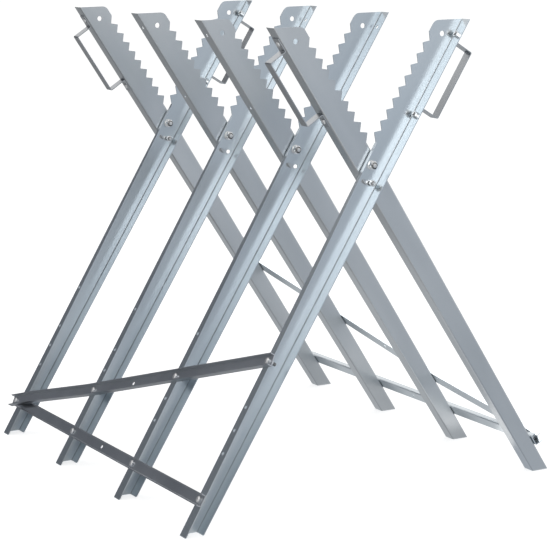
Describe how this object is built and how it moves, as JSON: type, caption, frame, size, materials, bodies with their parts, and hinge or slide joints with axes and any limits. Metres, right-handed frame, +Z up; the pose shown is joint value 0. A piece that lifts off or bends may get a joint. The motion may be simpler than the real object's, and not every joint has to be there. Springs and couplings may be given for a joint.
{
  "type": "log sawhorse",
  "caption": "Folding log sawhorse: crossing toothed channel legs on one pivot line, with straight and sloping braces and bent strip handles.",
  "frame": {"origin": "on the floor under the middle of the open stand", "axes": "+Z up, Y along the log and the pivot line, X across from one bank of feet to the other"},
  "size_m": [0.7304, 0.7998, 0.8],
  "materials": {
    "galvanised_leg": "folded galvanised sheet, soft gloss",
    "galvanised_brace": "galvanised channel, soft gloss",
    "handle_strip": "zinc plated flat strip, satin",
    "zinc_fastener": "bright zinc plating",
    "nylon": "dark nylon"
  },
  "bodies": {
    "frame_a": {"leg_a_1": "galvanised_leg", "leg_a_2": "galvanised_leg", "leg_a_3": "galvanised_leg", "leg_a_4": "galvanised_leg", "lower_brace_a": "galvanised_brace", "sloping_brace_a": "galvanised_brace", "handle_a_1": "handle_strip", "handle_a_4": "handle_strip", "pivot_bolts": "zinc_fastener", "pivot_washers": "zinc_fastener", "pivot_nuts": "zinc_fastener", "nylon_rings": "nylon", "brace_screws_a": "zinc_fastener", "brace_nuts_a": "zinc_fastener", "handle_screws_a": "zinc_fastener", "handle_nuts_a": "zinc_fastener"},
    "frame_b": {"leg_b_1": "galvanised_leg", "leg_b_2": "galvanised_leg", "leg_b_3": "galvanised_leg", "leg_b_4": "galvanised_leg", "lower_brace_b": "galvanised_brace", "sloping_brace_b": "galvanised_brace", "handle_b_1": "handle_strip", "handle_b_4": "handle_strip", "brace_screws_b": "zinc_fastener", "brace_nuts_b": "zinc_fastener", "handle_screws_b": "zinc_fastener", "handle_nuts_b": "zinc_fastener"},
    "stops": {"stop_screws": "zinc_fastener", "stop_nuts": "zinc_fastener"}
  },
  "joints": [
    {"name": "fold", "type": "hinge", "parent": "frame_a", "child": "frame_b", "pos_m": [0, 0, 0.5694], "axis": [0, 1, 0], "range_deg": [0, 61]},
    {"name": "stop_travel", "type": "hinge", "parent": "frame_a", "child": "stops", "pos_m": [0, 0, 0.5694], "axis": [0, 1, 0], "range_deg": [0, 30.5]}
  ],
  "couplings": [
    {"joint": "stop_travel", "follows": "fold", "ratio": 0.5}
  ]
}
